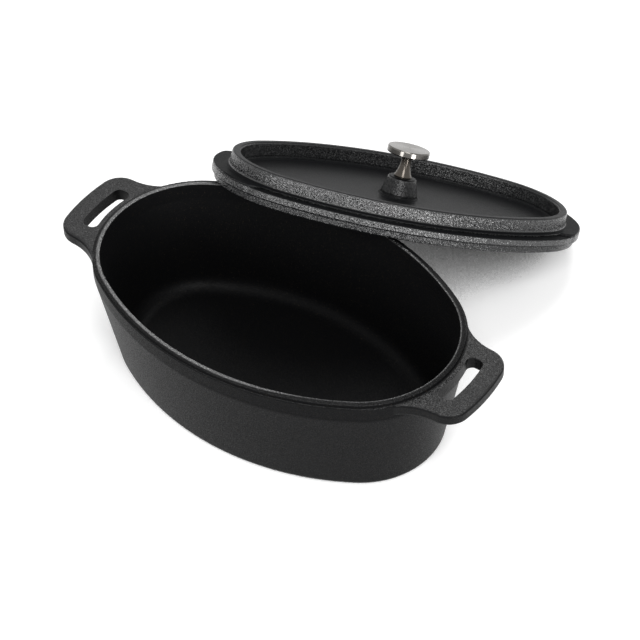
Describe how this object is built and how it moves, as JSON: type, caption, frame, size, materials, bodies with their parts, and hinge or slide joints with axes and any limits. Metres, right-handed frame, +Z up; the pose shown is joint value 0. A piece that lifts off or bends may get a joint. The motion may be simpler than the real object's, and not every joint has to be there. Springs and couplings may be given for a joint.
{
  "type": "mini oval cast iron casserole dish with lid",
  "caption": "Small oval cast iron pot with two loop handles, and its flat lid with a raised edge and a steel knob, leaning on the back of the rim.",
  "frame": {"origin": "middle of the dish's flat base, on the table", "axes": "+X to the right handle, +Y to the back, where the lid leans, +Z up"},
  "size_m": [0.198, 0.2008, 0.0725],
  "materials": {
    "cast_iron_dish": "matt black seasoned casting",
    "cast_iron_lid": "black casting with a fine pebbled skin",
    "satin_steel": "satin turned steel"
  },
  "bodies": {
    "root": {"dish": "cast_iron_dish", "lid": "cast_iron_lid", "lid_knob": "satin_steel", "knob_washer": "satin_steel", "knob_nut": "satin_steel"}
  },
  "joints": []
}
